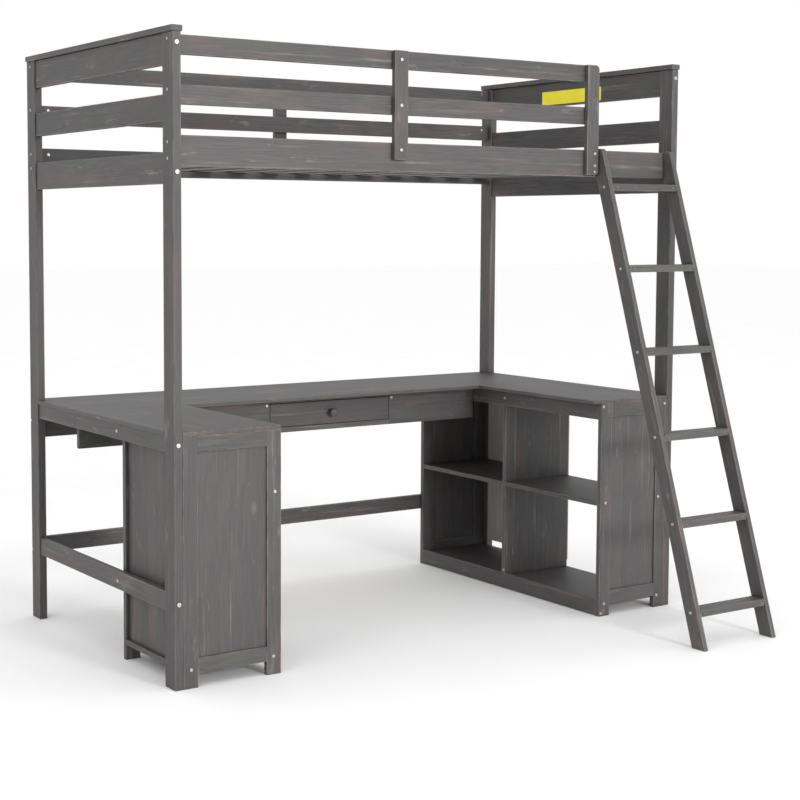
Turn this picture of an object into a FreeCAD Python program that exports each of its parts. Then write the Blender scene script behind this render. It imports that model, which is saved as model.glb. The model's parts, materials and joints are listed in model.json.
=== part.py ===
import FreeCAD
import Part
import math
import os

# Twin loft bed with a U-shaped desk, a drawer, a cabinet, a bookshelf and a ladder.
# All sizes are millimetres.  X runs along the bed, Y from the ladder side to the back,
# Z up from the floor.  Boards are placed from the outer front left corner of the front
# left post, then moved so that the origin is the centre of the footprint on the floor.

Vec = FreeCAD.Vector

# ---- overall ---------------------------------------------------------------------
BED_L = 2020.0            # over the posts, along X
BED_W = 1088.0            # over the posts, along Y
POST_X = 28.0
POST_Y = 65.0
POST_H = 1935.0
CAP_T = 18.0
CAP_OVER_X = 5.0
CAP_OVER_Y = 2.0
EASE = 1.6                # rounded edge on every board
POST_EASE = 2.5
FIT = 0.3                 # gap round a notched post

# ---- ends ------------------------------------------------------------------------
END_T = 18.0
END_INSET = 5.0           # end boards sit back from the outer face of the posts
END_TOP_Z = (1843.0, 1934.0)
END_MID_Z = (1679.0, 1758.0)
END_LOW_Z = (1498.0, 1589.0)
STRETCH_LEFT_Z = (229.0, 288.0)
STRETCH_BACK_Z = (225.0, 282.0)
STRETCH_T = 18.0

# ---- bed rails and guard rails -----------------------------------------------------
RAIL_T = 20.0
RAIL_INSET = 22.0         # rails are centred in the depth of the posts
SIDE_Z = (1549.0, 1640.0)
GUARD_TOP_Z = (1872.0, 1929.0)
GUARD_MID_Z = (1728.0, 1786.0)
GUARD_SLAT_T = 18.0
GUARD_SLAT_W = 52.0
GUARD_MID_X = 787.0       # left edge of the middle upright
GUARD_SLAT_Z = (1585.0, 1929.0)
GUARD_END_X = (1596.0, 1648.0)
GUARD_END_Z = (1554.0, 1929.0)
GUARD_END_R = 15.0
LEDGER_T = 22.0
LEDGER_H = 20.0
LEDGER_Z = 1551.0
SLAT_COUNT = 14
SLAT_W = 70.0
SLAT_T = 16.0
SLAT_END_GAP = 26.0       # between an end board and the nearest slat
SLAT_PLAY = 2.0           # between a slat and the side rails

# ---- ladder ------------------------------------------------------------------------
LADDER_T = 18.0
LADDER_X0 = 1652.0
LADDER_FOOT_Y = -531.0    # front corner of the rail on the floor
LADDER_DEPTH = 57.0       # level depth of the rail
LADDER_SLOPE = 0.318      # how far the rail leans back per unit of height
LADDER_TOP_Z = 1645.0
LADDER_TOP_R = 14.0
RUNG_T = 24.0
RUNG_Z0 = 127.0           # top of the lowest rung
RUNG_PITCH = 279.6
RUNG_COUNT = 6
LADDER_BOLT_Z = 1612.0

# ---- desk --------------------------------------------------------------------------
DESK_Z = 770.0
DESK_T = 12.0
DESK_FRONT_Y = 642.0      # front edge of the long top
DESK_LEFT_X = 372.0       # inner edge of the left return
DESK_RIGHT_X = 1642.0     # inner edge of the right return
DESK_CORNER_R = 12.0
APRON_T = 18.0
APRON_Y = 729.0
APRON_Z0 = 635.0
SIDE_APRON_Z0 = 707.0
DRAWER_X = (762.0, 1278.0)
DRAWER_Z = (655.5, 740.0)
DRAWER_GAP = 1.5
DRAWER_BOX_T = 12.0
DRAWER_BOX_D = 300.0
DRAWER_BOX_Z = (655.5, 730.0)
DRAWER_PLAY = 2.5
RUNNER_W = 18.0
RUNNER_H = 18.0
RUNNER_GAP = 0.5          # between a runner and the drawer
DRAWER_FLOOR_T = 4.0
DRAWER_FLOOR_UP = 6.0     # from the edge of the drawer sides to its bottom
DRAWER_FLOOR_LAP = 5.0    # how far the bottom runs into its grooves
KNOB_R = 16.0

# ---- cabinet -----------------------------------------------------------------------
CAB_X1 = 366.0
CAB_D = 408.0
FRAME_T = 18.0
FRAME_EASE = 1.2
STILE_W = 50.0
FRAME_RAIL_LOW = (43.0, 90.0)
FRAME_RAIL_TOP_Z0 = 709.0
PANEL_T = 6.0
PANEL_BACK = 6.0          # depth of the recess in front of a panel
PANEL_LAP = 8.0           # how far a panel runs into its groove
PANEL_PLAY = 0.2          # round a panel in its groove
CAB_PANEL_INSET = 12.0
CAB_PANEL_T = 12.0
CAB_FLOOR_Z = (48.0, 66.0)
CAB_SHELF_Z = (559.0, 577.0)
DOOR_GAP = 2.0
DOOR_KNOB_R = 14.0
DOOR_KNOB_Z = 470.0
HINGE_R = 3.0
HINGE_PIN_R = 1.5
HINGE_PIN_PLAY = 0.05
HINGE_LEAF_T = 1.5
HINGE_H = 50.0
HINGE_LEAF_W = 22.0
HINGE_Z = (150.0, 624.0)
HINGE_TRIM = 0.2          # above and below the middle knuckle
HINGE_CLEAR = 0.4         # round the knuckles of the other leaf

# ---- bookshelf ---------------------------------------------------------------------
BOOK_X0 = 1678.0
BOOK_Y1 = 1068.0
BOOK_RAIL_Z = (2.0, 60.0)
BOOK_FLOOR_Z = (33.0, 51.0)
BOOK_SHELF_Z = (394.0, 410.0)
BOOK_TOP_RAIL_Z0 = 700.0
DIVIDER_T = 18.0
SIDE_PANEL_T = 12.0       # closes the outer side of the rear cubbies
SIDE_PANEL_Z0 = 73.0

# ---- fasteners ---------------------------------------------------------------------
# size: (head radius, head thickness, shank radius, length)
FASTENERS = {
    "post": (7.0, 2.4, 3.0, 90.0),
    "rail": (4.8, 2.0, 3.0, 90.0),
    "rung": (5.2, 2.0, 3.0, 90.0),
    "medium": (5.6, 2.2, 2.7, 34.0),
    "frame": (5.2, 1.8, 2.2, 30.0),
    "screw": (3.6, 1.4, 1.8, 24.0),
    "pin": (3.0, 1.2, 1.5, 20.0),
}
SHANK_PLAY = 0.2
NUT_R = 5.0
NUT_L = 15.0
NUT_PLAY = 0.1
NUT_SET = 32.0            # from the end of a rail to the middle of its barrel nut
NUT_SLOT_W = 1.0
NUT_SLOT_DEEP = 1.2
END_TOP_BOLT_UP = 61.0    # from the lower edge of the top end board
END_LOW_BOLT_UP = 34.0
GUARD_TOP_BOLT_UP = 44.0  # from the lower edge of each rail
GUARD_MID_BOLT_UP = 42.0
SIDE_BOLT_UP = (22.0, 70.0)
BACK_STRETCH_BOLT_UP = 16.0
SLAT_FOOT_BOLT_Z = 1617.0
END_SLAT_BOLT_Z = (1565.0, 1586.0, 1627.0)
END_SLAT_BOLT_IN = 16.0   # from the right edge of the end upright
RUNG_SCREW_IN = 20.0
CAP_SCREW_IN = 6.0        # from the back of the posts
END_SCREW_IN = (14.0, 30.0)
END_SCREW_UP = 22.0
POST_SCREW_Z = (102.0, 690.0)
CAB_SCREW_X = (54.0, 339.0)
CAB_SHELF_SCREW_X = 344.0
BOOK_SCREW_IN = (24.0, 35.0)
BOOK_SHELF_SCREW_Z = 405.0
BOOK_FLOOR_SCREW_Z = 44.0
BOOK_CORNER_SCREW_Z = (11.0, 747.0)
BOOK_RAIL_SCREW_Y = (264.0, 783.0)
DIVIDER_SCREW_Z = 71.0
APRON_END_SCREW_Z = (719.0, 745.0)
CAB_SIDE_SCREW_Z = (256.0, 733.0)
DESK_CORNER_SCREW = (1981.0, 742.0)
DRAWER_CASE_SCREW_OUT = (15.0, 13.0)
DRAWER_CASE_SCREW_Z = 736.0
SIDE_PANEL_SCREW_IN = 4.5 # from the front edge of the panel, into the divider
SIDE_PANEL_SCREW_Z = (120.0, 660.0)
SIDE_PANEL_SCREW_Y = (650.0, 950.0)

# ---- derived -----------------------------------------------------------------------
LADDER_X1 = BED_L - POST_X - 1.0
DESK_Z0 = DESK_Z - DESK_T
RAIL_Y0 = RAIL_INSET
RAIL_Y1 = RAIL_INSET + RAIL_T
BACK_Y0 = BED_W - RAIL_Y1
BACK_Y1 = BED_W - RAIL_Y0
INNER_X0 = POST_X
INNER_X1 = BED_L - POST_X
INNER_Y0 = POST_Y
INNER_Y1 = BED_W - POST_Y
ORIGIN_X = BED_L / 2.0
ORIGIN_Y = (LADDER_FOOT_Y + BED_W + CAP_OVER_Y) / 2.0


# ---- shapes ------------------------------------------------------------------------
def box(x, y, z):
    """A plain box from three (low, high) pairs."""
    return Part.makeBox(x[1] - x[0], y[1] - y[0], z[1] - z[0], Vec(x[0], y[0], z[0]))


def board(x, y, z, ease=EASE):
    """A board with every edge rounded."""
    solid = box(x, y, z)
    return solid.makeFillet(ease, solid.Edges)


def prism(points, z0, z1):
    """An upright prism over a closed outline."""
    corners = [Vec(px, py, z0) for px, py in points]
    face = Part.Face(Part.makePolygon(corners + corners[:1]))
    return face.extrude(Vec(0, 0, z1 - z0))


def upright_edges(solid, near, reach):
    """The upright edges of a solid within reach of a point in plan."""
    found = []
    for edge in solid.Edges:
        a = edge.Vertexes[0].Point
        b = edge.Vertexes[-1].Point
        upright = abs(a.x - b.x) < 0.01 and abs(a.y - b.y) < 0.01
        if upright and math.hypot(a.x - near[0], a.y - near[1]) < reach:
            found.append(edge)
    return found


def rounded_slat(x, y, z, radius, corners):
    """An upright slat whose named corners, seen from the front, are round."""
    solid = box(x, y, z)
    wanted = []
    for edge in solid.Edges:
        a = edge.Vertexes[0].Point
        b = edge.Vertexes[-1].Point
        if abs(a.x - b.x) > 0.01 or abs(a.z - b.z) > 0.01:
            continue
        side = "right" if abs(a.x - x[1]) < 0.01 else "left"
        level = "top" if abs(a.z - z[1]) < 0.01 else "low"
        if (side, level) in corners:
            wanted.append(edge)
    solid = solid.makeFillet(radius, wanted)
    rims = []
    for edge in solid.Edges:
        ys = [v.Point.y for v in edge.Vertexes]
        flat = max(ys) - min(ys) < 0.01
        if flat:
            rims.append(edge)
    return solid.makeFillet(EASE, rims)


def panel_frame(x, y, z, low_rail, top_rail_z0):
    """Two stiles down to the floor, with a low rail and a top rail between them."""
    inner = (x[0] + STILE_W, x[1] - STILE_W)
    return [
        board((x[0], inner[0]), y, z, FRAME_EASE),
        board((inner[1], x[1]), y, z, FRAME_EASE),
        board(inner, y, low_rail, FRAME_EASE),
        board(inner, y, (top_rail_z0, z[1]), FRAME_EASE),
    ]


def frame_panel(x, y0, low_rail, top_rail_z0, play=0.0):
    """The thin panel held in the grooves of a panel frame."""
    reach = PANEL_LAP + play
    return box(
        (x[0] + STILE_W - reach, x[1] - STILE_W + reach),
        (y0 - play, y0 + PANEL_T + play),
        (low_rail[1] - reach, top_rail_z0 + reach),
    )


def knob(radius):
    """A turned knob on the Z axis, with its neck starting at Z = 0."""
    profile = [
        (0.0, 0.0),
        (radius * 0.55, 0.0),
        (radius * 0.50, radius * 0.25),
        (radius * 0.42, radius * 0.55),
        (radius * 0.62, radius * 0.85),
        (radius * 0.95, radius * 1.10),
        (radius, radius * 1.35),
        (radius * 0.88, radius * 1.60),
        (radius * 0.50, radius * 1.76),
        (0.0, radius * 1.82),
    ]
    points = [Vec(r, 0, z) for r, z in profile]
    neck = Part.makePolygon(points[:4])
    curve = Part.BSplineCurve()
    curve.interpolate(points[3:])
    axis = Part.makeLine(points[-1], points[0])
    face = Part.Face(Part.Wire(neck.Edges + [curve.toShape(), axis]))
    return face.revolve(Vec(0, 0, 0), Vec(0, 0, 1), 360)


def bolt(head_r, head_t, shank_r, length):
    """A flat headed bolt with a hex socket; the head's underside is at Z = 0."""
    head = Part.makeCylinder(head_r, head_t)
    rims = [e for e in head.Edges if abs(e.CenterOfMass.z - head_t) < 0.01]
    head = head.makeFillet(head_t * 0.6, rims)
    socket_r = head_r * 0.36
    hexagon = []
    for k in range(6):
        angle = math.radians(60.0 * k)
        hexagon.append((socket_r * math.cos(angle), socket_r * math.sin(angle)))
    socket = prism(hexagon, head_t * 0.4, head_t + 1.0)
    shank = Part.makeCylinder(shank_r, length, Vec(0, 0, -length))
    return head.cut(socket).fuse(shank).removeSplitter()


AXES = {
    "-y": (Vec(1, 0, 0), 90),      # head faces the front
    "+y": (Vec(1, 0, 0), -90),
    "-x": (Vec(0, 1, 0), -90),
    "+x": (Vec(0, 1, 0), 90),
    "-z": (Vec(1, 0, 0), 180),
    "+z": (Vec(1, 0, 0), 0),
}


def turned(shape, where, facing):
    """A copy of a shape made on +Z, turned to face a way and moved into place."""
    axis, angle = AXES[facing]
    copy = shape.copy()
    copy.rotate(Vec(0, 0, 0), axis, angle)
    copy.translate(Vec(*where))
    return copy


# ---- posts and ends ----------------------------------------------------------------
parts = {}


def post(x0, y0):
    solid = box((x0, x0 + POST_X), (y0, y0 + POST_Y), (0.0, POST_H))
    return solid.makeFillet(POST_EASE, solid.Edges)


parts["post_front_left"] = [post(0.0, 0.0)]
parts["post_front_right"] = [post(INNER_X1, 0.0)]
parts["post_back_left"] = [post(0.0, INNER_Y1)]
parts["post_back_right"] = [post(INNER_X1, INNER_Y1)]

ENDS_X = (
    (END_INSET, END_INSET + END_T),
    (BED_L - END_INSET - END_T, BED_L - END_INSET),
)


def end_board(side, z):
    return board(ENDS_X[side], (INNER_Y0, INNER_Y1), z)


for side, name in enumerate(("left", "right")):
    x0 = (0.0, INNER_X1)[side]
    span_x = (x0 - CAP_OVER_X, x0 + POST_X + CAP_OVER_X)
    span_y = (-CAP_OVER_Y, BED_W + CAP_OVER_Y)
    parts["end_cap_" + name] = [board(span_x, span_y, (POST_H, POST_H + CAP_T), 3.0)]
    parts["end_boards_" + name] = [end_board(side, z) for z in (END_TOP_Z, END_MID_Z, END_LOW_Z)]
parts["left_stretcher"] = [end_board(0, STRETCH_LEFT_Z)]
BACK_BOARD_Y = (BOOK_Y1 + 1.0, BOOK_Y1 + 1.0 + STRETCH_T)
parts["back_stretcher"] = [board((INNER_X0, INNER_X1), BACK_BOARD_Y, STRETCH_BACK_Z)]

# ---- bed rails, guard rails and slats ----------------------------------------------
FRONT_Y = (RAIL_Y0, RAIL_Y1)
BACK_Y = (BACK_Y0, BACK_Y1)
parts["side_rail_front"] = [board((INNER_X0, INNER_X1), FRONT_Y, SIDE_Z)]
parts["side_rail_back"] = [board((INNER_X0, INNER_X1), BACK_Y, SIDE_Z)]
for name, level in (("top", GUARD_TOP_Z), ("middle", GUARD_MID_Z)):
    parts["guard_rail_front_" + name] = [board((INNER_X0, GUARD_END_X[1]), FRONT_Y, level)]
    parts["guard_rail_back_" + name] = [board((INNER_X0, INNER_X1), BACK_Y, level)]

slat_y = (RAIL_Y0 - GUARD_SLAT_T, RAIL_Y0)
slat_x = (GUARD_MID_X, GUARD_MID_X + GUARD_SLAT_W)
back_slat_x = (BED_L / 2.0 - GUARD_SLAT_W / 2.0, BED_L / 2.0 + GUARD_SLAT_W / 2.0)
parts["guard_slats_middle"] = [
    board(slat_x, slat_y, GUARD_SLAT_Z),
    board(back_slat_x, (BACK_Y1, BACK_Y1 + GUARD_SLAT_T), GUARD_SLAT_Z),
]
parts["guard_slat_end"] = [
    rounded_slat(GUARD_END_X, slat_y, GUARD_END_Z, GUARD_END_R, (("right", "top"), ("right", "low")))
]

ledger_z = (LEDGER_Z, LEDGER_Z + LEDGER_H)
bed_x = (ENDS_X[0][1], ENDS_X[1][0])
ledger_x = (INNER_X0, INNER_X1)
parts["slat_ledgers"] = [
    board(ledger_x, (RAIL_Y1, RAIL_Y1 + LEDGER_T), ledger_z),
    board(ledger_x, (BACK_Y0 - LEDGER_T, BACK_Y0), ledger_z),
]
SLAT_Y = (RAIL_Y1 + SLAT_PLAY, BACK_Y0 - SLAT_PLAY)
SLAT_Z = (ledger_z[1], ledger_z[1] + SLAT_T)
slat_step = (bed_x[1] - bed_x[0] - 2.0 * SLAT_END_GAP - SLAT_W) / (SLAT_COUNT - 1)
slat_starts = [bed_x[0] + SLAT_END_GAP + k * slat_step for k in range(SLAT_COUNT)]
parts["bed_slats"] = [board((sx, sx + SLAT_W), SLAT_Y, SLAT_Z) for sx in slat_starts]


# ---- ladder ------------------------------------------------------------------------
def ladder_front(z):
    return LADDER_FOOT_Y + LADDER_SLOPE * z


def ladder_back(z):
    return ladder_front(z) + LADDER_DEPTH


def ladder_rail(x0):
    """A leaning rail: cut level at the floor and plumb where it meets the bed rail."""
    plumb_y = RAIL_Y0
    plumb_z = (plumb_y - LADDER_DEPTH - LADDER_FOOT_Y) / LADDER_SLOPE
    outline = [
        (ladder_front(0.0), 0.0),
        (ladder_back(0.0), 0.0),
        (plumb_y, plumb_z),
        (plumb_y, LADDER_TOP_Z),
        (ladder_front(LADDER_TOP_Z), LADDER_TOP_Z),
    ]
    corners = [Vec(x0, py, pz) for py, pz in outline]
    face = Part.Face(Part.makePolygon(corners + corners[:1]))
    solid = face.extrude(Vec(LADDER_T, 0, 0))
    across = []
    for edge in solid.Edges:
        a = edge.Vertexes[0].Point
        b = edge.Vertexes[-1].Point
        if abs(a.x - b.x) > 1.0 and a.z > LADDER_TOP_Z - 1.0 and a.y < 0.0:
            across.append(edge)
    solid = solid.makeFillet(LADDER_TOP_R, across)
    rims = []
    for edge in solid.Edges:
        xs = [v.Point.x for v in edge.Vertexes]
        if max(xs) - min(xs) < 0.01:
            rims.append(edge)
    return solid.makeFillet(EASE, rims)


ladder_x = ((LADDER_X0, LADDER_X0 + LADDER_T), (LADDER_X1 - LADDER_T, LADDER_X1))
parts["ladder_rail_left"] = [ladder_rail(ladder_x[0][0])]
parts["ladder_rail_right"] = [ladder_rail(ladder_x[1][0])]
rung_x = (ladder_x[0][1], ladder_x[1][0])
rung_mid = []
rungs = []
for k in range(RUNG_COUNT):
    top = RUNG_Z0 + k * RUNG_PITCH
    middle = top - RUNG_T / 2.0
    rung_mid.append(middle)
    span_y = (ladder_front(middle), ladder_back(middle))
    span_z = (top - RUNG_T, top)
    rungs.append(board(rung_x, span_y, span_z, 2.5))
parts["ladder_rungs"] = rungs

# ---- desk tops and aprons ----------------------------------------------------------
notch_x0 = POST_X + FIT
notch_x1 = INNER_X1 - FIT
notch_y0 = INNER_Y0 + FIT
notch_y1 = INNER_Y1 - FIT
main_outline = [
    (0.0, DESK_FRONT_Y),
    (BED_L, DESK_FRONT_Y),
    (BED_L, notch_y1),
    (notch_x1, notch_y1),
    (notch_x1, BED_W),
    (notch_x0, BED_W),
    (notch_x0, notch_y1),
    (0.0, notch_y1),
]
left_outline = [
    (notch_x0, 0.0),
    (DESK_LEFT_X, 0.0),
    (DESK_LEFT_X, DESK_FRONT_Y),
    (0.0, DESK_FRONT_Y),
    (0.0, notch_y0),
    (notch_x0, notch_y0),
]
right_outline = [
    (DESK_RIGHT_X, 0.0),
    (notch_x1, 0.0),
    (notch_x1, notch_y0),
    (BED_L, notch_y0),
    (BED_L, DESK_FRONT_Y),
    (DESK_RIGHT_X, DESK_FRONT_Y),
]


def desk_top(outline, corner=None):
    """A top with eased rims and, where named, one round corner."""
    solid = prism(outline, DESK_Z0, DESK_Z)
    if corner:
        solid = solid.makeFillet(DESK_CORNER_R, upright_edges(solid, corner, 1.0))
    rims = []
    for edge in solid.Edges:
        zs = [v.Point.z for v in edge.Vertexes]
        if max(zs) - min(zs) < 0.01:
            rims.append(edge)
    return solid.makeFillet(EASE, rims)


parts["desk_top_main"] = [desk_top(main_outline)]
parts["desk_top_left"] = [desk_top(left_outline, (DESK_LEFT_X, 0.0))]
parts["desk_top_right"] = [desk_top(right_outline, (DESK_RIGHT_X, 0.0))]

side_apron_z = (SIDE_APRON_Z0, DESK_Z0)
parts["desk_side_apron_left"] = [end_board(0, side_apron_z)]
parts["desk_side_apron_right"] = [end_board(1, side_apron_z)]
apron_z = (APRON_Z0, DESK_Z0)
apron_y = (APRON_Y, APRON_Y + APRON_T)
parts["desk_back_rail"] = [board((INNER_X0, INNER_X1), BACK_BOARD_Y, apron_z)]
panel_left_x = (ENDS_X[0][1], DRAWER_X[0] - DRAWER_GAP)
panel_right_x = (DRAWER_X[1] + DRAWER_GAP, BOOK_X0)
parts["desk_apron_left"] = [board(panel_left_x, apron_y, apron_z)]
parts["desk_apron_right"] = [board(panel_right_x, apron_y, apron_z)]
drawer_bay = (panel_left_x[1], panel_right_x[0])
parts["desk_drawer_rails"] = [
    board(drawer_bay, apron_y, (APRON_Z0, DRAWER_Z[0] - DRAWER_GAP)),
    board(drawer_bay, apron_y, (DRAWER_Z[1] + DRAWER_GAP, DESK_Z0)),
]

# ---- drawer and its runners ----------------------------------------------------------
box_y = (apron_y[1], apron_y[1] + DRAWER_BOX_D)
box_x = (drawer_bay[0] + DRAWER_PLAY, drawer_bay[1] - DRAWER_PLAY)
side_left_x = (box_x[0], box_x[0] + DRAWER_BOX_T)
side_right_x = (box_x[1] - DRAWER_BOX_T, box_x[1])
floor_low = DRAWER_BOX_Z[0] + DRAWER_FLOOR_UP
floor_z = (floor_low, floor_low + DRAWER_FLOOR_T)
floor_x = (side_left_x[1] - DRAWER_FLOOR_LAP, side_right_x[0] + DRAWER_FLOOR_LAP)
floor_y = (apron_y[1] - DRAWER_FLOOR_LAP, box_y[1] - DRAWER_BOX_T + DRAWER_FLOOR_LAP)
drawer_floor = box(floor_x, floor_y, floor_z)
groove = box(
    (floor_x[0] - 0.2, floor_x[1] + 0.2),
    (floor_y[0] - 0.2, floor_y[1] + 0.2),
    (floor_z[0] - 0.1, floor_z[1] + 0.1),
)
drawer_face = board(DRAWER_X, apron_y, DRAWER_Z, 2.0)
parts["drawer_front"] = [drawer_face.cut(groove)]
drawer_sides = [board(x, box_y, DRAWER_BOX_Z, 1.0) for x in (side_left_x, side_right_x)]
parts["drawer_sides"] = [piece.cut(groove) for piece in drawer_sides]
back_span = (side_left_x[1], side_right_x[0])
back_y = (box_y[1] - DRAWER_BOX_T, box_y[1])
parts["drawer_back"] = [board(back_span, back_y, DRAWER_BOX_Z, 1.0).cut(groove)]
parts["drawer_bottom"] = [drawer_floor]
DRAWER_MID_X = (DRAWER_X[0] + DRAWER_X[1]) / 2.0
DRAWER_MID_Z = (DRAWER_Z[0] + DRAWER_Z[1]) / 2.0
parts["drawer_knob"] = [turned(knob(KNOB_R), (DRAWER_MID_X, APRON_Y, DRAWER_MID_Z), "-y")]

case_y = (apron_y[1], BACK_BOARD_Y[0])
runner_top = DRAWER_BOX_Z[0] - RUNNER_GAP
runner_z = (runner_top - RUNNER_H, runner_top)
parts["drawer_case_sides"] = [
    board((drawer_bay[0] - APRON_T, drawer_bay[0]), case_y, apron_z),
    board((drawer_bay[1], drawer_bay[1] + APRON_T), case_y, apron_z),
]
parts["drawer_runners"] = [
    board((drawer_bay[0], drawer_bay[0] + RUNNER_W), case_y, runner_z, 1.0),
    board((drawer_bay[1] - RUNNER_W, drawer_bay[1]), case_y, runner_z, 1.0),
]

# ---- cabinet -------------------------------------------------------------------------
cab_x = (POST_X, CAB_X1)
frame_z = (0.0, DESK_Z0)
cab_frames = {"front": 0.0, "back": CAB_D - FRAME_T}
cab_panels = []
for side, y0 in cab_frames.items():
    recess = PANEL_BACK if side == "front" else FRAME_T - PANEL_BACK - PANEL_T
    frame = panel_frame(cab_x, (y0, y0 + FRAME_T), frame_z, FRAME_RAIL_LOW, FRAME_RAIL_TOP_Z0)
    slot = frame_panel(cab_x, y0 + recess, FRAME_RAIL_LOW, FRAME_RAIL_TOP_Z0, PANEL_PLAY)
    parts["cabinet_%s_frame" % side] = [piece.cut(slot) for piece in frame]
    cab_panels.append(frame_panel(cab_x, y0 + recess, FRAME_RAIL_LOW, FRAME_RAIL_TOP_Z0))
parts["cabinet_end_panels"] = cab_panels
inside_y = (FRAME_T, CAB_D - FRAME_T)
door_x = (CAB_X1 - FRAME_T, CAB_X1)
side_panel_x = (POST_X + CAB_PANEL_INSET, POST_X + CAB_PANEL_INSET + CAB_PANEL_T)
parts["cabinet_side_panel"] = [board(side_panel_x, inside_y, (CAB_FLOOR_Z[1], DESK_Z0), 1.0)]
shelf_x = (side_panel_x[1], door_x[0] - 1.0)
parts["cabinet_bottom"] = [board((POST_X, CAB_X1), inside_y, CAB_FLOOR_Z)]
parts["cabinet_shelf"] = [board(shelf_x, inside_y, CAB_SHELF_Z)]

# ---- cabinet door --------------------------------------------------------------------
door_y = (inside_y[0] + DOOR_GAP, inside_y[1] - DOOR_GAP)
door_z = (CAB_FLOOR_Z[1] + DOOR_GAP, DESK_Z0 - DOOR_GAP)


def door_slab(y, z):
    return board(door_x, y, z, FRAME_EASE)


inner_door_y = (door_y[0] + STILE_W, door_y[1] - STILE_W)
inner_door_z = (door_z[0] + STILE_W, door_z[1] - STILE_W)
door_frame = [
    door_slab((door_y[0], inner_door_y[0]), door_z),
    door_slab((inner_door_y[1], door_y[1]), door_z),
    door_slab(inner_door_y, (door_z[0], inner_door_z[0])),
    door_slab(inner_door_y, (inner_door_z[1], door_z[1])),
]
door_panel_x = door_x[1] - PANEL_BACK - PANEL_T


def door_panel(play):
    """The panel of the door, held in the grooves of its frame."""
    reach = PANEL_LAP + play
    return box(
        (door_panel_x - play, door_panel_x + PANEL_T + play),
        (inner_door_y[0] - reach, inner_door_y[1] + reach),
        (inner_door_z[0] - reach, inner_door_z[1] + reach),
    )


parts["cabinet_door_frame"] = [piece.cut(door_panel(PANEL_PLAY)) for piece in door_frame]
parts["cabinet_door_panel"] = [door_panel(0.0)]
knob_at = (CAB_X1, door_y[1] - STILE_W / 2.0, DOOR_KNOB_Z)
parts["cabinet_door_knob"] = [turned(knob(DOOR_KNOB_R), knob_at, "+x")]

# two surface hinges: the pin stands just clear of the face, over the door gap
PIN_X = CAB_X1 + HINGE_R + 0.5
PIN_Y = inside_y[0] + DOOR_GAP / 2.0
leaf_x = (CAB_X1, CAB_X1 + HINGE_LEAF_T)
knuckle_reach = HINGE_R + HINGE_CLEAR
around_knuckle = ((CAB_X1 - 1.0, PIN_X + HINGE_R), (PIN_Y - HINGE_R, PIN_Y + knuckle_reach))


def upright_rod(radius, z):
    """A rod on the axis of the hinges."""
    return Part.makeCylinder(radius, z[1] - z[0], Vec(PIN_X, PIN_Y, z[0]))


fixed_leaves = []
door_leaves = []
for z0 in HINGE_Z:
    z1 = z0 + HINGE_H
    middle_z = (z0 + HINGE_H / 3.0, z0 + HINGE_H * 2.0 / 3.0)
    knuckle_z = (middle_z[0] + HINGE_TRIM, middle_z[1] - HINGE_TRIM)
    fixed = box(leaf_x, (EASE, PIN_Y), (z0, z1))
    fixed = fixed.cut(box((CAB_X1 - 1.0, PIN_X), (PIN_Y - knuckle_reach, PIN_Y + 1.0), middle_z))
    for span in ((z0, middle_z[0]), (middle_z[1], z1)):
        fixed = fixed.fuse(upright_rod(HINGE_R, span))
    fixed = fixed.fuse(upright_rod(HINGE_PIN_R, (z0, z1)))
    moving = box(leaf_x, (PIN_Y, PIN_Y + HINGE_LEAF_W), (z0, z1)).fuse(upright_rod(HINGE_R, knuckle_z))
    moving = moving.cut(upright_rod(HINGE_PIN_R + HINGE_PIN_PLAY, (z0, z1)))
    for span in ((z0 - 1.0, knuckle_z[0]), (knuckle_z[1], z1 + 1.0)):
        moving = moving.cut(box(around_knuckle[0], around_knuckle[1], span))
    fixed_leaves.append(fixed.removeSplitter())
    door_leaves.append(moving.removeSplitter())
parts["cabinet_hinge_leaves"] = fixed_leaves
parts["cabinet_door_leaves"] = door_leaves

# ---- bookshelf -----------------------------------------------------------------------
book_x = (BOOK_X0, INNER_X1)
book_frames = {"front": 0.0, "rear": BOOK_Y1 - FRAME_T}
book_panels = []
for side, y0 in book_frames.items():
    frame = panel_frame(book_x, (y0, y0 + FRAME_T), frame_z, FRAME_RAIL_LOW, FRAME_RAIL_TOP_Z0)
    slot = frame_panel(book_x, y0 + PANEL_BACK, FRAME_RAIL_LOW, FRAME_RAIL_TOP_Z0, PANEL_PLAY)
    parts["bookshelf_%s_frame" % side] = [piece.cut(slot) for piece in frame]
    book_panels.append(frame_panel(book_x, y0 + PANEL_BACK, FRAME_RAIL_LOW, FRAME_RAIL_TOP_Z0))
parts["bookshelf_end_panels"] = book_panels
book_y = (FRAME_T, BOOK_Y1 - FRAME_T)
rail_x = (BOOK_X0, BOOK_X0 + FRAME_T)
parts["bookshelf_rails"] = [
    board(rail_x, book_y, BOOK_RAIL_Z),
    board(rail_x, book_y, (BOOK_TOP_RAIL_Z0, DESK_Z0)),
]
book_floor_x = (rail_x[1], INNER_X1)
parts["bookshelf_bottom"] = [board(book_floor_x, book_y, BOOK_FLOOR_Z)]
middle_y = (book_y[0] + book_y[1]) / 2.0
divider_y = (middle_y - DIVIDER_T / 2.0, middle_y + DIVIDER_T / 2.0)
divider = board((BOOK_X0, INNER_X1), divider_y, (BOOK_FLOOR_Z[1], DESK_Z0))
divider = divider.cut(box((BOOK_X0 - 1.0, rail_x[1]), divider_y, (BOOK_TOP_RAIL_Z0, DESK_Z0 + 1.0)))
divider = divider.cut(box((BOOK_X0 - 1.0, rail_x[1]), divider_y, (0.0, BOOK_RAIL_Z[1])))
parts["bookshelf_divider"] = [divider]
parts["bookshelf_shelves"] = [
    board((BOOK_X0, INNER_X1), (book_y[0], divider_y[0]), BOOK_SHELF_Z),
    board((BOOK_X0, INNER_X1), (divider_y[1], book_y[1]), BOOK_SHELF_Z),
]

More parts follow.
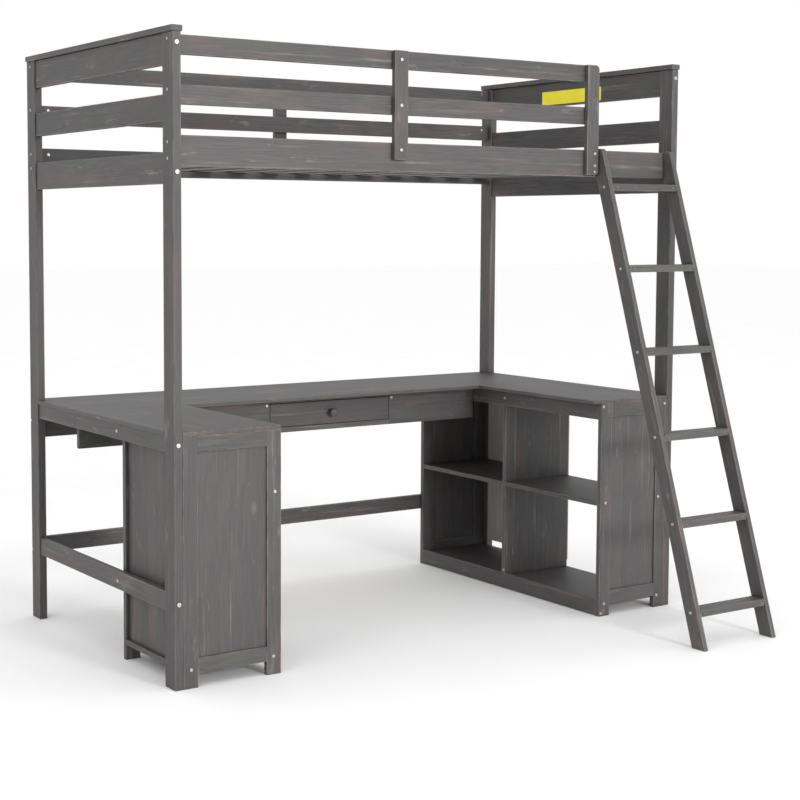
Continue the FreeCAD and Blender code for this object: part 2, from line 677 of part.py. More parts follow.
side_panel_y = (middle_y, INNER_Y1)
side_panel_z = (SIDE_PANEL_Z0, SIDE_APRON_Z0)
side_panel_out = INNER_X1 + SIDE_PANEL_T
parts["bookshelf_side_panel"] = [board((INNER_X1, side_panel_out), side_panel_y, side_panel_z, 1.0)]

# ---- fasteners -----------------------------------------------------------------------
bolts = []
drills = []


def fasten(size, x, y, z, facing):
    """One fastener of a named size, and the hole it needs in the wood."""
    head_r, head_t, radius, length = FASTENERS[size]
    bolts.append(turned(bolt(head_r, head_t, radius, length), (x, y, z), facing))
    drill = Part.makeCylinder(radius + SHANK_PLAY, length + 1.0, Vec(0, 0, -length - 1.0))
    drills.append(turned(drill, (x, y, z), facing))


def fasten_both(size, x, z, front_y, back_y):
    """A fastener in the front and its twin in the back."""
    fasten(size, x, front_y, z, "-y")
    fasten(size, x, back_y, z, "+y")


POST_MID_X = POST_X / 2.0
end_levels = [END_TOP_Z[0] + END_TOP_BOLT_UP, END_LOW_Z[0] + END_LOW_BOLT_UP]
apron_level = sum(side_apron_z) / 2.0
for z in end_levels:
    fasten_both("post", POST_MID_X, z, 0.0, BED_W)
    fasten_both("post", BED_L - POST_MID_X, z, 0.0, BED_W)
fasten_both("post", POST_MID_X, apron_level, 0.0, BED_W)
fasten("post", BED_L - POST_MID_X, BED_W, apron_level, "+y")
fasten("frame", DESK_CORNER_SCREW[0], 0.0, DESK_CORNER_SCREW[1], "-y")
fasten_both("post", POST_MID_X, sum(STRETCH_LEFT_Z) / 2.0, 0.0, BED_W)
for x in (0.0, INNER_X1):
    fasten("pin", x - CAP_OVER_X, BED_W - CAP_SCREW_IN, POST_H + CAP_T / 2.0, "-x")
for inset in END_SCREW_IN:
    fasten("pin", ENDS_X[1][0], INNER_Y0 + inset, END_TOP_Z[0] + END_SCREW_UP, "-x")

rail_mid = RAIL_Y0 + RAIL_T / 2.0
nuts = []
nut_holes = []


def rail_bolts(y, z, inward, ends):
    """Bolts through the posts into a rail's ends, each with a barrel nut."""
    for x, facing, nut_x in ((0.0, "-x", POST_X + NUT_SET), (BED_L, "+x", INNER_X1 - NUT_SET)):
        if facing not in ends:
            continue
        fasten("rail", x, y, z, facing)
        mouth = y + inward * RAIL_T / 2.0
        turn = "+y" if inward > 0 else "-y"
        nut = Part.makeCylinder(NUT_R, NUT_L, Vec(0, 0, -NUT_L))
        rim = [e for e in nut.Edges if abs(e.CenterOfMass.z) < 0.01]
        nut = nut.makeFillet(0.6, rim)
        slot_at = Vec(-NUT_R * 0.65, -NUT_SLOT_W / 2.0, -NUT_SLOT_DEEP)
        slot = Part.makeBox(NUT_R * 1.3, NUT_SLOT_W, NUT_SLOT_DEEP + 1.0, slot_at)
        bore_r = FASTENERS["rail"][2] + 0.02
        shank = Part.makeCylinder(bore_r, 200.0, Vec(x - 100.0, y, z), Vec(1, 0, 0))
        nuts.append(turned(nut.cut(slot), (nut_x, mouth, z), turn).cut(shank))
        hole = Part.makeCylinder(NUT_R + NUT_PLAY, NUT_L + 0.5, Vec(0, 0, -NUT_L - 0.5))
        nut_holes.append(turned(hole, (nut_x, mouth, z), turn))


for low, ups, front_ends in (
    (GUARD_TOP_Z[0], (GUARD_TOP_BOLT_UP,), ("-x",)),
    (GUARD_MID_Z[0], (GUARD_MID_BOLT_UP,), ("-x",)),
    (SIDE_Z[0], SIDE_BOLT_UP, ("-x", "+x")),
):
    for up in ups:
        rail_bolts(rail_mid, low + up, 1.0, front_ends)
        rail_bolts(BED_W - rail_mid, low + up, -1.0, ("-x", "+x"))
back_board_mid = sum(BACK_BOARD_Y) / 2.0
for z in (STRETCH_BACK_Z[0] + BACK_STRETCH_BOLT_UP, sum(apron_z) / 2.0):
    fasten("rail", 0.0, back_board_mid, z, "-x")
    fasten("rail", BED_L, back_board_mid, z, "+x")

# guard uprights to rails
for z in (SLAT_FOOT_BOLT_Z, sum(GUARD_MID_Z) / 2.0, sum(GUARD_TOP_Z) / 2.0):
    fasten("medium", sum(slat_x) / 2.0, slat_y[0], z, "-y")
    fasten("medium", sum(back_slat_x) / 2.0, BACK_Y1 + GUARD_SLAT_T, z, "+y")
for z in END_SLAT_BOLT_Z:
    fasten("medium", GUARD_END_X[1] - END_SLAT_BOLT_IN, slat_y[0], z, "-y")

# ladder: a bolt through each rail into each rung, and two from inside the bed rail
for middle in rung_mid:
    centre_y = (ladder_front(middle) + ladder_back(middle)) / 2.0
    fasten("rung", ladder_x[0][0], centre_y, middle, "-x")
    fasten("rung", ladder_x[1][1], centre_y, middle, "+x")
    for x in (rung_x[0] + RUNG_SCREW_IN, rung_x[1] - RUNG_SCREW_IN):
        fasten("screw", x, ladder_front(middle), middle, "-y")
for x in ladder_x:
    fasten("medium", sum(x) / 2.0, RAIL_Y1, LADDER_BOLT_Z, "+y")

# cabinet and bookshelf frames
for z in POST_SCREW_Z:
    fasten("pin", 0.0, FRAME_T / 2.0, z, "-x")
    fasten("pin", BED_L, FRAME_T / 2.0, z, "+x")
for x in CAB_SCREW_X:
    fasten_both("frame", x, sum(CAB_FLOOR_Z) / 2.0, 0.0, CAB_D)
fasten_both("frame", CAB_SHELF_SCREW_X, sum(CAB_SHELF_Z) / 2.0, 0.0, CAB_D)
for x in (BOOK_X0 + BOOK_SCREW_IN[0], INNER_X1 - BOOK_SCREW_IN[1]):
    for z in (BOOK_FLOOR_SCREW_Z, BOOK_SHELF_SCREW_Z):
        fasten_both("frame", x, z, 0.0, BOOK_Y1)
for z in BOOK_CORNER_SCREW_Z:
    fasten("frame", BOOK_X0 + FRAME_T / 2.0, 0.0, z, "-y")
fasten("medium", BOOK_X0, middle_y, (BOOK_TOP_RAIL_Z0 + DESK_Z0) / 2.0, "-x")
fasten("frame", BOOK_X0, middle_y - DIVIDER_T / 4.0, DIVIDER_SCREW_Z, "-x")
for y in BOOK_RAIL_SCREW_Y:
    fasten("pin", BOOK_X0, y, BOOK_FLOOR_SCREW_Z, "-x")
for z in SIDE_PANEL_SCREW_Z:
    fasten("screw", side_panel_out, middle_y + SIDE_PANEL_SCREW_IN, z, "+x")
for y in SIDE_PANEL_SCREW_Y:
    fasten("screw", side_panel_out, y, sum(BOOK_SHELF_Z) / 2.0, "+x")

# aprons
for z in APRON_END_SCREW_Z:
    fasten("screw", ENDS_X[0][0], APRON_Y + APRON_T / 2.0, z, "-x")
for z in CAB_SIDE_SCREW_Z:
    fasten("medium", ENDS_X[0][0], CAB_D - FRAME_T / 2.0, z, "-x")
for x in (DRAWER_X[0] - DRAWER_CASE_SCREW_OUT[0], DRAWER_X[1] + DRAWER_CASE_SCREW_OUT[1]):
    fasten("medium", x, APRON_Y, DRAWER_CASE_SCREW_Z, "-y")

# slat screws, seen from below
for sx in slat_starts:
    for y in (RAIL_Y1 + LEDGER_T / 2.0, BACK_Y0 - LEDGER_T / 2.0):
        fasten("screw", sx + SLAT_W / 2.0, y, SLAT_Z[1], "+z")

parts["bolts"] = bolts
parts["barrel_nuts"] = nuts

# ---- drill the wood --------------------------------------------------------------------
METAL = ("bolts", "barrel_nuts", "cabinet_hinge_leaves", "cabinet_door_leaves")


def drilled(solid):
    for tool in drills + nut_holes:
        if solid.BoundBox.intersect(tool.BoundBox):
            near = solid.distToShape(tool)[0]
            if near < 1e-6:
                solid = solid.cut(tool)
    return solid


# ---- write -----------------------------------------------------------------------------
os.makedirs("parts", exist_ok=True)
for old in os.listdir("parts"):
    if old.endswith(".step"):
        os.remove(os.path.join("parts", old))
for node, solids in parts.items():
    finished = []
    for solid in solids:
        if node not in METAL:
            solid = drilled(solid)
        solid.translate(Vec(-ORIGIN_X, -ORIGIN_Y, 0.0))
        for piece in solid.Solids:
            if not piece.isValid():
                print("not valid:", node)
            finished.append(piece)
    shape = finished[0] if len(finished) == 1 else Part.makeCompound(finished)
    shape.exportStep("parts/%s.step" % node)
    print("%-26s %3d solid(s) %12.0f mm3" % (node, len(finished), shape.Volume))
print(len(parts), "nodes")
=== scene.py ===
import json
import math

import bmesh
import bpy
import numpy as np
from mathutils import Matrix, Vector


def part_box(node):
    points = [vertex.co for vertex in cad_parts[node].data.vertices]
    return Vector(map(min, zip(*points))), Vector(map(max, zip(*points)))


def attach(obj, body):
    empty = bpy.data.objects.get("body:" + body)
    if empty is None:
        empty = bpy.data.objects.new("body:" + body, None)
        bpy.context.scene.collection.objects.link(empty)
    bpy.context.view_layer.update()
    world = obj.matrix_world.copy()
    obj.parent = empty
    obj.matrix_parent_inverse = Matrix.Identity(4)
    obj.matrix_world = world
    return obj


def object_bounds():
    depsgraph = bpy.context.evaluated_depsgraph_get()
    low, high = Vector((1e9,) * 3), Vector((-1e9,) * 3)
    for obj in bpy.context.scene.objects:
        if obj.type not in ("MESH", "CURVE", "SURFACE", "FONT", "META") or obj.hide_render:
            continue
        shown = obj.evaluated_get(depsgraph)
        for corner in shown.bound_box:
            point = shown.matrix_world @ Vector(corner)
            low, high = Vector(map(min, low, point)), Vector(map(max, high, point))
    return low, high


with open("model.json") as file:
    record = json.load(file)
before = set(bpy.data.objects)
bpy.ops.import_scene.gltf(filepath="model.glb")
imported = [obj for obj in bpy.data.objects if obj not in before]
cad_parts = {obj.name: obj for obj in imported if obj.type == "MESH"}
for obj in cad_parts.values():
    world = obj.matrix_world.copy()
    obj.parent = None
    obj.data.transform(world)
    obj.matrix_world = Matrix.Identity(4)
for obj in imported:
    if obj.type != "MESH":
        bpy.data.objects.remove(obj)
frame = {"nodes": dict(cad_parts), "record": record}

# Twin loft bed with desk: grey-washed pine boards, zinc bolts and a bare pine drawer box.
# All lengths are metres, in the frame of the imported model.

CAD_BOX = [list(corner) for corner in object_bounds()]
NODES = frame["nodes"]

# ---- which way the wood runs, and how worn it is ---------------------------------------
LADDER_LEAN = math.atan(0.318)      # of the ladder rails, from the upright towards +Y
UPRIGHT_GRAIN = (
    "cabinet_end_panels",
    "cabinet_side_panel",
    "cabinet_door_panel",
    "bookshelf_end_panels",
    "bookshelf_divider",
    "bookshelf_side_panel",
    "guard_slats_middle",
    "guard_slat_end",
)
FRAMES = (
    "cabinet_front_frame",
    "cabinet_back_frame",
    "bookshelf_front_frame",
    "bookshelf_rear_frame",
    "cabinet_door_frame",
)
STILE = 0.0505                      # a frame's upright boards end within this of its sides
BOARD_STEP = 0.37                   # between the numbers of two boards of a node
NODE_STEP = 1.618                   # between the numbers of two nodes
QUIET_EDGES = ("drawer_front", "desk_apron", "desk_drawer_rails")
QUIET_WEAR = 0.15                   # of the edges of those nodes; 1.0 on all others
DULL_HEAD = 0.0060                  # screw heads of this width are dull,
BRIGHT_HEAD = 0.0112                # and of this width bright


def solids_of(mesh):
    """The solid number of each vertex: vertices that share a place or a face go together."""
    count = len(mesh.vertices)
    places = np.zeros(count * 3)
    mesh.vertices.foreach_get("co", places)
    places = places.reshape(-1, 3)
    _, same = np.unique(np.round(places, 6), axis=0, return_inverse=True)
    same = same.ravel()
    edges = np.zeros(len(mesh.edges) * 2, dtype=np.int64)
    mesh.edges.foreach_get("vertices", edges)
    ends = same[edges.reshape(-1, 2)]
    label = np.arange(same.max() + 1)
    while True:
        low = np.minimum(label[ends[:, 0]], label[ends[:, 1]])
        new = label.copy()
        np.minimum.at(new, ends[:, 0], low)
        np.minimum.at(new, ends[:, 1], low)
        new = new[new]
        if np.array_equal(new, label):
            break
        label = new
    _, solid = np.unique(label[same], return_inverse=True)
    return places, solid.ravel()


def lean_upright(places):
    """Turns the ladder rail's points so that the rail stands upright."""
    turn = np.array(Matrix.Rotation(LADDER_LEAN, 3, "X"))
    return places @ turn.T


def lay_grain(node, seed):
    """Gives each board of a node its own wood: along, across and through, from its middle."""
    mesh = NODES[node].data
    places, solid = solids_of(mesh)
    if node.startswith("ladder_rail"):
        places = lean_upright(places)
    grain = np.zeros_like(places)
    number = np.zeros(len(places))
    for k in range(solid.max() + 1):
        mine = solid == k
        low = places[mine].min(axis=0)
        high = places[mine].max(axis=0)
        order = list(np.argsort(high - low)[::-1])
        if node in UPRIGHT_GRAIN:
            order.remove(2)
            order.insert(0, 2)
        grain[mine] = (places[mine] - (low + high) / 2.0)[:, order]
        number[mine] = seed + BOARD_STEP * k
    store(mesh, "POINT", grain, number)


def lay_frame_grain(node, seed):
    """As lay_grain, for a frame: its upright boards run up and its rails run across."""
    mesh = NODES[node].data
    places = np.array([corner.co for corner in mesh.vertices])
    middle = (places.min(axis=0) + places.max(axis=0)) / 2.0
    half = (places.max(axis=0) - places.min(axis=0)) / 2.0
    wide = int(np.argmax(half[:2]))
    deep = 1 - wide
    order = {False: (2, wide, deep), True: (wide, 2, deep)}

    # boards 0 and 1 are the uprights, boards 2 and 3 the rails
    at = places[np.array([loop.vertex_index for loop in mesh.loops])]
    board = np.zeros(len(at), dtype=np.int64)
    for face in mesh.polygons:
        from_middle = np.array(face.center) - middle
        rail = abs(from_middle[wide]) < half[wide] - STILE
        far = from_middle[2 if rail else wide] > 0.0
        board[list(face.loop_indices)] = 2 * int(rail) + int(far)
    grain = np.zeros_like(at)
    for k in np.unique(board):
        mine = board == k
        centre = (at[mine].min(axis=0) + at[mine].max(axis=0)) / 2.0
        grain[mine] = (at[mine] - centre)[:, order[bool(k > 1)]]
    store(mesh, "CORNER", grain, seed + BOARD_STEP * board)


def store(mesh, domain, grain, number):
    """Puts the wood's place and the board's number on the mesh for the material to read."""
    along = mesh.attributes.new("grain", "FLOAT_VECTOR", domain)
    along.data.foreach_set("vector", grain.astype(np.float32).ravel())
    board = mesh.attributes.new("board", "FLOAT", domain)
    board.data.foreach_set("value", number.astype(np.float32))


def set_wear(node):
    """Stores how far a node's edges are rubbed: little where boards meet in a narrow gap."""
    mesh = NODES[node].data
    worn = QUIET_WEAR if node.startswith(QUIET_EDGES) else 1.0
    wear = mesh.attributes.new("wear", "FLOAT", "POINT")
    wear.data.foreach_set("value", np.full(len(mesh.vertices), worn, dtype=np.float32))


def measure_heads(node):
    """Stores the width of each fastener's head, its second longest side, on its points."""
    mesh = NODES[node].data
    places, solid = solids_of(mesh)
    width = np.zeros(len(places))
    for k in range(solid.max() + 1):
        mine = solid == k
        sides = np.sort(places[mine].max(axis=0) - places[mine].min(axis=0))
        width[mine] = sides[1]
    head = mesh.attributes.new("head", "FLOAT", "POINT")
    head.data.foreach_set("value", width.astype(np.float32))


# ---- materials -----------------------------------------------------------------------
class Material:
    """A material under construction, with short names for its nodes."""

    def __init__(self, name):
        self.made = bpy.data.materials.new(name)
        self.made.use_nodes = True
        self.tree = self.made.node_tree
        self.shader = self.tree.nodes["Principled BSDF"]

    def add(self, kind, inputs=None, **settings):
        node = self.tree.nodes.new("ShaderNode" + kind)
        for key, value in settings.items():
            setattr(node, key, value)
        for key, value in (inputs or {}).items():
            self.put(node.inputs[key], value)
        return node

    def put(self, socket, value):
        if isinstance(value, bpy.types.NodeSocket):
            self.tree.links.new(value, socket)
        else:
            socket.default_value = value

    def math(self, operation, a, b=0.0, c=0.0):
        node = self.add("Math", operation=operation)
        for socket, value in zip(node.inputs, (a, b, c)):
            self.put(socket, value)
        return node.outputs[0]

    def ramp(self, value, low, high):
        """0 at low and before it, 1 at high and past it, smooth between."""
        inputs = {"Value": value, "From Min": low, "From Max": high}
        node = self.add("MapRange", inputs, interpolation_type="SMOOTHSTEP")
        return node.outputs[0]

    def fall(self, value, low, high):
        """1 at low and before it, 0 at high and past it, smooth between."""
        return self.math("SUBTRACT", 1.0, self.ramp(value, low, high))

    def mix(self, amount, a, b, blend="MIX"):
        node = self.add("Mix", data_type="RGBA", blend_type=blend)
        self.put(node.inputs[0], amount)
        self.put(node.inputs[6], a)
        self.put(node.inputs[7], b)
        return node.outputs[2]

    def darken(self, colour, share):
        """The colour times a share that is the same for red, green and blue."""
        inputs = {"Red": share, "Green": share, "Blue": share}
        grey = self.add("CombineColor", inputs).outputs[0]
        return self.mix(1.0, colour, grey, "MULTIPLY")

    def vector(self, x, y, z):
        return self.add("CombineXYZ", {"X": x, "Y": y, "Z": z}).outputs[0]

    def noise(self, place, scale, detail=3.0, rough=0.55):
        inputs = {"Vector": place, "Scale": scale, "Detail": detail, "Roughness": rough}
        return self.add("TexNoise", inputs).outputs["Fac"]

    def finish(self, colour, roughness, height=None, strength=0.2, depth=0.001):
        self.put(self.shader.inputs["Base Color"], colour)
        self.put(self.shader.inputs["Roughness"], roughness)
        if height is not None:
            bump = self.add("Bump", {"Height": height, "Strength": strength, "Distance": depth})
            self.put(self.shader.inputs["Normal"], bump.outputs[0])
        return self.made


def rgb(red, green, blue):
    return (red, green, blue, 1.0)


GREY = {
    "dark": rgb(0.050, 0.047, 0.048),
    "light": rgb(0.098, 0.092, 0.093),
    "ring": rgb(0.043, 0.039, 0.039),
    "rubbed": rgb(0.225, 0.208, 0.194),
    "warm": rgb(0.124, 0.082, 0.079),
    "cool": rgb(0.074, 0.085, 0.070),
    "edge": rgb(0.330, 0.285, 0.220),
    "halo": rgb(0.240, 0.200, 0.145),
    "knot": rgb(0.040, 0.032, 0.026),
    "ring_share": 0.40,
    "rubbed_share": 0.75,
    "patch_share": 0.55,
    "edge_share": 0.80,
}
PALE = {
    "dark": rgb(0.400, 0.388, 0.382),
    "light": rgb(0.620, 0.603, 0.594),
    "ring": rgb(0.330, 0.314, 0.305),
    "rubbed": rgb(0.680, 0.663, 0.638),
    "warm": rgb(0.560, 0.491, 0.474),
    "cool": rgb(0.482, 0.517, 0.482),
    "edge": rgb(0.680, 0.646, 0.578),
    "halo": rgb(0.360, 0.306, 0.240),
    "knot": rgb(0.110, 0.086, 0.068),
    "ring_share": 0.50,
    "rubbed_share": 0.50,
    "patch_share": 0.40,
    "edge_share": 0.40,
}
BARE = {
    "dark": rgb(0.430, 0.330, 0.200),
    "light": rgb(0.620, 0.500, 0.330),
    "ring": rgb(0.400, 0.260, 0.130),
    "rubbed": rgb(0.700, 0.600, 0.430),
    "warm": rgb(0.560, 0.400, 0.240),
    "cool": rgb(0.560, 0.500, 0.340),
    "edge": rgb(0.720, 0.620, 0.450),
    "halo": rgb(0.480, 0.300, 0.140),
    "knot": rgb(0.200, 0.100, 0.050),
    "ring_share": 0.45,
    "rubbed_share": 0.30,
    "patch_share": 0.30,
    "edge_share": 0.20,
}
STAVE = 0.096                       # width of the strips that wide panels are glued from
STAVE_STEP = 0.713                  # between the numbers of two strips of a board
STAVE_SHIFT = 37.0                  # a strip's wood is moved along by up to this
RING = 0.0042                       # between growth rings
RING_WANDER = 0.050                 # how far the rings stray
RING_SWIRL = 0.012                  # how far they bend at a knot
PITH_ACROSS = (0.10, -0.05)         # spread and start of the pith's place across
PITH_THROUGH = (0.05, 0.02)         # and through the board
KNOT_SCALE = 4.6                    # cells per metre, each with a knot somewhere in it
KNOT_STRETCH = 0.55                 # of the cells along the board
KNOT = (0.0040, 0.0070)             # from the middle of a knot to its rim,
KNOT_HALO = (0.0080, 0.0170)        # through the stain round it
KNOT_SWIRL = (0.004, 0.035)         # and through the bent rings
STRIP_SHADE = (0.20, 0.81)          # spread and start of a strip's brightness
EDGE_RADIUS = 0.0060                # rubbed edges reach this far
EDGE_CHANCE = (0.65, 0.35)          # spread and start of how rubbed a strip's edges are
PAINTED_SHADE_REACH = 0.014                # painted shade darkens corners and gaps this far out
PAINTED_SHADE_LEVEL = (0.55, 0.45)         # spread and start of how bright the painted corner shade leaves the colour
BUMP_DEPTH = 0.0006


def strips(m):
    """The place in the strip as (along, across, through), and two chances of the strip."""
    grain = m.add("Attribute", attribute_name="grain").outputs["Vector"]
    board = m.add("Attribute", attribute_name="board").outputs["Fac"]
    split = m.add("SeparateXYZ", {"Vector": grain})
    along, across, through = split.outputs[0], split.outputs[1], split.outputs[2]
    stave = m.math("FLOOR", m.math("MULTIPLY_ADD", across, 1.0 / STAVE, 0.5))
    across = m.math("MULTIPLY_ADD", stave, -STAVE, across)
    key = m.math("MULTIPLY_ADD", stave, STAVE_STEP, board)
    white = m.add("TexWhiteNoise", {"W": key}, noise_dimensions="1D").outputs["Color"]
    chance = m.add("SeparateColor", {"Color": white})
    along = m.math("MULTIPLY_ADD", chance.outputs[0], STAVE_SHIFT, along)
    return (along, across, through), chance.outputs[1], chance.outputs[2]


def stretched(m, place, along, sideways):
    """The place with one scale along the board and another across and through it."""
    scales = (along, sideways, sideways)
    return m.vector(*[m.math("MULTIPLY", part, scale) for part, scale in zip(place, scales)])


def knots(m, place):
    """How much a point is in a knot, in the stain round it and in the rings that it bends."""
    along, across, through = place
    spread = m.vector(m.math("MULTIPLY", along, KNOT_STRETCH), across, through)
    cells = m.add("TexVoronoi", {"Vector": spread, "Scale": KNOT_SCALE}, feature="F1")
    distance = m.math("DIVIDE", cells.outputs["Distance"], KNOT_SCALE)
    return [m.fall(distance, *reach) for reach in (KNOT, KNOT_HALO, KNOT_SWIRL)]


def late_wood(m, place, swirl, second, third):
    """The dark part of each growth ring, round a pith that lies beside the board."""
    wander = m.noise(stretched(m, place, 1.0, 9.0), 1.6, 2.0)
    pith_across = m.math("ADD", place[1], m.math("MULTIPLY_ADD", second, *PITH_ACROSS))
    pith_through = m.math("ADD", place[2], m.math("MULTIPLY_ADD", third, *PITH_THROUGH))
    squares = [m.math("POWER", side, 2.0) for side in (pith_across, pith_through)]
    radius = m.math("SQRT", m.math("ADD", *squares))
    radius = m.math("MULTIPLY_ADD", wander, RING_WANDER, radius)
    radius = m.math("MULTIPLY_ADD", swirl, RING_SWIRL, radius)
    phase = m.math("FRACT", m.math("DIVIDE", radius, RING))
    return m.math("MULTIPLY", m.ramp(phase, 0.35, 0.92), m.fall(phase, 0.94, 1.0))


def rubbed_edges(m, blots, second):
    """Where the wash is rubbed through along the edges, in patches."""
    flat = m.add("NewGeometry").outputs["Normal"]
    soft = m.add("Bevel", {"Radius": EDGE_RADIUS}, samples=6).outputs[0]
    facing = m.add("VectorMath", operation="DOT_PRODUCT")
    m.put(facing.inputs[0], flat)
    m.put(facing.inputs[1], soft)
    edge = m.ramp(facing.outputs["Value"], 0.995, 0.90)
    worn = m.math("MULTIPLY", edge, m.ramp(m.noise(blots, 4.0, 4.0, 0.65), 0.36, 0.60))
    wear = m.add("Attribute", attribute_name="wear").outputs["Fac"]
    wear = m.math("MULTIPLY", wear, m.math("MULTIPLY_ADD", second, *EDGE_CHANCE))
    return m.math("MULTIPLY", worn, wear)


def pine(name, tone, gloss):
    """Sawn pine with growth rings, fibres, knots, patches of wash, rubbed edges and painted shade in
    corners.
    """
    m = Material(name)
    place, second, third = strips(m)
    fine = stretched(m, place, 1.0, 40.0)
    blots = stretched(m, place, 3.0, 9.0)
    knot, halo, swirl = knots(m, place)
    late = late_wood(m, place, swirl, second, third)

    def lay_over(colour, amount, key, share=1.0):
        """The colour with one of the wood's tones over it."""
        return m.mix(m.math("MULTIPLY", amount, share), colour, tone[key])

    # the wood itself
    fibre = m.noise(fine, 9.0, 5.0, 0.65)
    colour = m.mix(m.ramp(fibre, 0.25, 0.75), tone["dark"], tone["light"])
    colour = lay_over(colour, late, "ring", tone["ring_share"])

    # patches of warmer and cooler wash
    patch = m.noise(blots, 1.2, 3.0, 0.6)
    tint = m.noise(blots, 2.1, 2.0, 0.5)
    colour = lay_over(colour, m.ramp(patch, 0.50, 0.68), "warm", tone["patch_share"])
    colour = lay_over(colour, m.ramp(tint, 0.52, 0.70), "cool", tone["patch_share"])

    # rubbed streaks and smears
    streak = m.ramp(m.noise(fine, 1.9, 3.0, 0.6), 0.57, 0.76)
    smear = m.ramp(m.noise(blots, 3.4, 3.0, 0.65), 0.62, 0.76)
    streak = m.math("MULTIPLY", streak, m.ramp(patch, 0.36, 0.60))
    smear = m.math("MULTIPLY", smear, m.ramp(fibre, 0.35, 0.60))
    colour = lay_over(colour, m.math("MAXIMUM", streak, smear), "rubbed", tone["rubbed_share"])

    # knots, and each strip a little lighter or darker than its neighbours
    colour = lay_over(colour, halo, "halo", m.math("MULTIPLY", fibre, 0.9))
    colour = lay_over(colour, knot, "knot", 0.85)
    colour = m.darken(colour, m.math("MULTIPLY_ADD", third, *STRIP_SHADE))

    # worn edges, and painted shade: corners and joints darkened by how enclosed they are
    colour = lay_over(colour, rubbed_edges(m, blots, second), "edge", tone["edge_share"])
    # painted shade: ambient occlusion darkens the colour in corners, gaps and under overhangs
    painted_corner_shade = m.add("AmbientOcclusion", {"Distance": PAINTED_SHADE_REACH}, samples=6).outputs["AO"]
    painted_corner_shade = m.ramp(painted_corner_shade, 0.30, 0.85)
    colour = m.darken(colour, m.math("MULTIPLY_ADD", painted_corner_shade, *PAINTED_SHADE_LEVEL))

    height = m.math("ADD", m.math("MULTIPLY", late, 0.5), m.math("MULTIPLY", fibre, 0.8))
    height = m.math("SUBTRACT", height, m.math("MULTIPLY", knot, 0.5))
    rough = m.math("MULTIPLY_ADD", fibre, 0.18, gloss)
    return m.finish(colour, rough, height, 0.35, BUMP_DEPTH)


def zinc(name, shade, rough):
    """Plated steel: fine brushing and faint stains.  Small heads are duller."""
    m = Material(name)
    place = m.add("TexCoord").outputs["Object"]
    head = m.add("Attribute", attribute_name="head").outputs["Fac"]
    brushed = m.add("Mapping", {"Vector": place, "Scale": (1.0, 1.0, 14.0)}).outputs[0]
    line = m.noise(brushed, 240.0, 3.0)
    stain = m.noise(place, 160.0, 4.0, 0.65)
    dull = tuple(0.30 * v for v in shade[:3]) + (1.0,)
    stained = tuple(0.78 * v for v in shade[:3]) + (1.0,)
    colour = m.mix(m.ramp(stain, 0.42, 0.70), shade, stained)
    colour = m.mix(m.math("MULTIPLY", line, 0.25), colour, rgb(0.90, 0.90, 0.92))
    colour = m.mix(m.math("SUBTRACT", 1.0, m.ramp(head, DULL_HEAD, BRIGHT_HEAD)), colour, dull)
    m.shader.inputs["Metallic"].default_value = 1.0
    return m.finish(colour, m.math("MULTIPLY_ADD", stain, 0.25, rough), line, 0.12, 0.0003)


def sticker_film():
    """Plain yellow film with a faint gloss, a few creases and slightly faded patches."""
    m = Material("yellow_film")
    place = m.add("TexCoord").outputs["Object"]
    fade = m.noise(place, 18.0, 4.0, 0.6)
    grain = m.noise(place, 420.0, 2.0)
    colour = m.mix(m.ramp(fade, 0.35, 0.75), rgb(0.92, 0.80, 0.010), rgb(0.96, 0.87, 0.040))
    return m.finish(colour, m.math("MULTIPLY_ADD", grain, 0.12, 0.34), fade, 0.10, 0.0008)


def dress():
    grey = pine("grey_pine", GREY, 0.46)
    bare = pine("bare_pine", BARE, 0.58)
    pale = pine("pale_pine", PALE, 0.50)
    bright = zinc("bright_zinc", rgb(0.52, 0.52, 0.53), 0.26)
    finishes = {"grey_pine": grey, "bare_pine": bare, "pale_pine": pale, "steel_hardware": bright}
    slots = {part["node"]: part["material_slot"] for part in frame["record"]["subparts"]}
    for count, node in enumerate(sorted(NODES)):
        finish = finishes[slots[node]]
        if finish is bright:
            measure_heads(node)
        else:
            set_wear(node)
            lay = lay_frame_grain if node in FRAMES else lay_grain
            lay(node, 1.0 + count * NODE_STEP)
        for slot in NODES[node].material_slots:
            slot.material = finish


# ---- the label ------------------------------------------------------------------------
LABEL_LONG = 0.336                  # along Y
LABEL_HIGH = 0.051
LABEL_THICK = 0.0004
LABEL_CORNER = 0.004
LABEL_FROM_FRONT = 0.312            # from the end board's front end
LABEL_DOWN = 0.058                  # its middle, from the end board's top edge
CORNER_STEPS = 4


def blank_label():
    """A plain yellow sticker on the inner face of the right end's top board."""
    low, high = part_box("end_boards_right")
    face_x = low[0]
    centre_y = low[1] + LABEL_FROM_FRONT + LABEL_LONG / 2.0
    centre_z = high[2] - LABEL_DOWN
    mesh = bmesh.new()
    outline = []
    for side_y, side_z, start in ((1, 1, 0), (-1, 1, 90), (-1, -1, 180), (1, -1, 270)):
        hub_y = centre_y + side_y * (LABEL_LONG / 2.0 - LABEL_CORNER)
        hub_z = centre_z + side_z * (LABEL_HIGH / 2.0 - LABEL_CORNER)
        for k in range(CORNER_STEPS + 1):
            turn = math.radians(start + k * 90.0 / CORNER_STEPS)
            point = (face_x, hub_y + LABEL_CORNER * math.cos(turn), hub_z + LABEL_CORNER * math.sin(turn))
            outline.append(mesh.verts.new(point))
    back = mesh.faces.new(outline)
    made = bmesh.ops.extrude_face_region(mesh, geom=[back])
    moved = [v for v in made["geom"] if isinstance(v, bmesh.types.BMVert)]
    bmesh.ops.translate(mesh, verts=moved, vec=Vector((-LABEL_THICK, 0.0, 0.0)))
    bmesh.ops.recalc_face_normals(mesh, faces=mesh.faces)
    data = bpy.data.meshes.new("blank_label")
    mesh.to_mesh(data)
    mesh.free()
    label = bpy.data.objects.new("blank_label", data)
    bpy.context.scene.collection.objects.link(label)
    data.materials.append(sticker_film())
    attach(label, "bed_frame")


